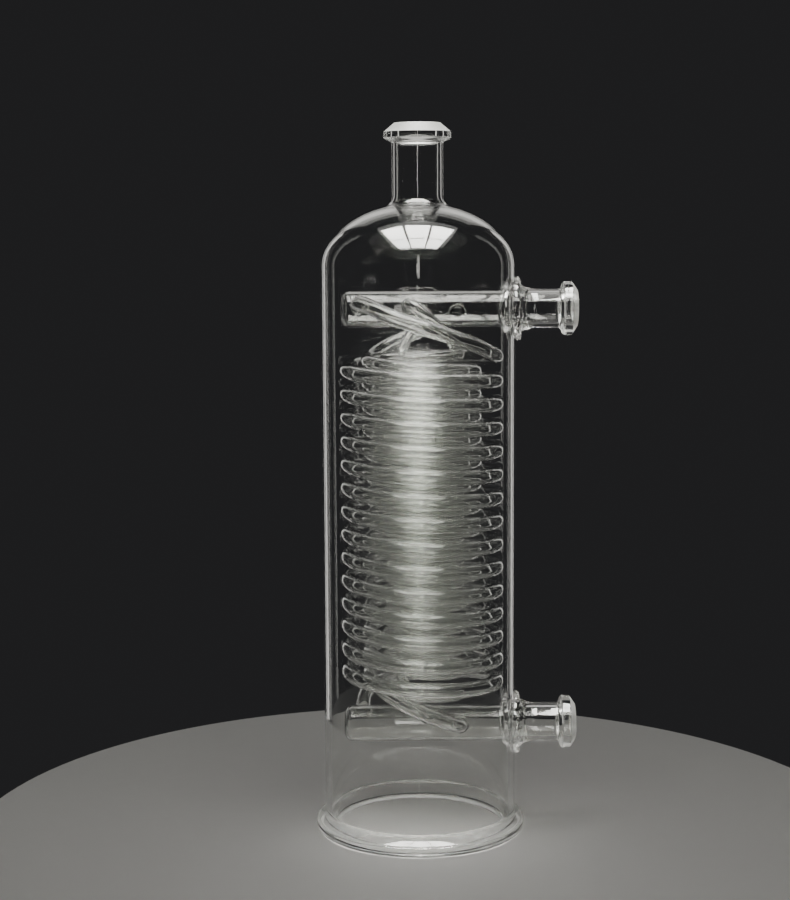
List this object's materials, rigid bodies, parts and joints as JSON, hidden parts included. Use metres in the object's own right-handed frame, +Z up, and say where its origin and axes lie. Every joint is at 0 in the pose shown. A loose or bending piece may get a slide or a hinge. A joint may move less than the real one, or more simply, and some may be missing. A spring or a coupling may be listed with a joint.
{
  "type": "coil condenser",
  "caption": "Jacketed glass coil condenser: domed bell jacket with a flanged foot and neck, side nozzles, and nested coils between two headers.",
  "frame": {"origin": "jacket's axis at the ground face of the foot flange", "axes": "+Z up the jacket's axis to the neck, +X towards both coolant nozzles"},
  "size_m": [0.2045, 0.164, 0.55],
  "materials": {
    "clear_glass": "fire-polished clear borosilicate",
    "ground_glass": "clear borosilicate with a ground, frosted sealing cone"
  },
  "bodies": {
    "root": {"dome": "clear_glass", "foot_flange": "clear_glass", "inner_coil": "clear_glass", "inner_coil_lower_branch": "clear_glass", "inner_coil_lower_lead": "clear_glass", "inner_coil_upper_branch": "clear_glass", "inner_coil_upper_lead": "clear_glass", "jacket_tube": "clear_glass", "lower_header": "clear_glass", "lower_nozzle": "clear_glass", "lower_nozzle_flange": "ground_glass", "lower_ring_seal": "clear_glass", "neck_flange": "ground_glass", "neck_tube": "clear_glass", "outer_coil": "clear_glass", "outer_coil_lower_branch": "clear_glass", "outer_coil_lower_lead": "clear_glass", "outer_coil_upper_branch": "clear_glass", "outer_coil_upper_lead": "clear_glass", "second_coil": "clear_glass", "second_coil_lower_branch": "clear_glass", "second_coil_lower_lead": "clear_glass", "second_coil_upper_branch": "clear_glass", "second_coil_upper_lead": "clear_glass", "third_coil": "clear_glass", "third_coil_lower_branch": "clear_glass", "third_coil_lower_lead": "clear_glass", "third_coil_upper_branch": "clear_glass", "third_coil_upper_lead": "clear_glass", "upper_header": "clear_glass", "upper_nozzle": "clear_glass", "upper_nozzle_flange": "ground_glass", "upper_ring_seal": "clear_glass"}
  },
  "joints": []
}
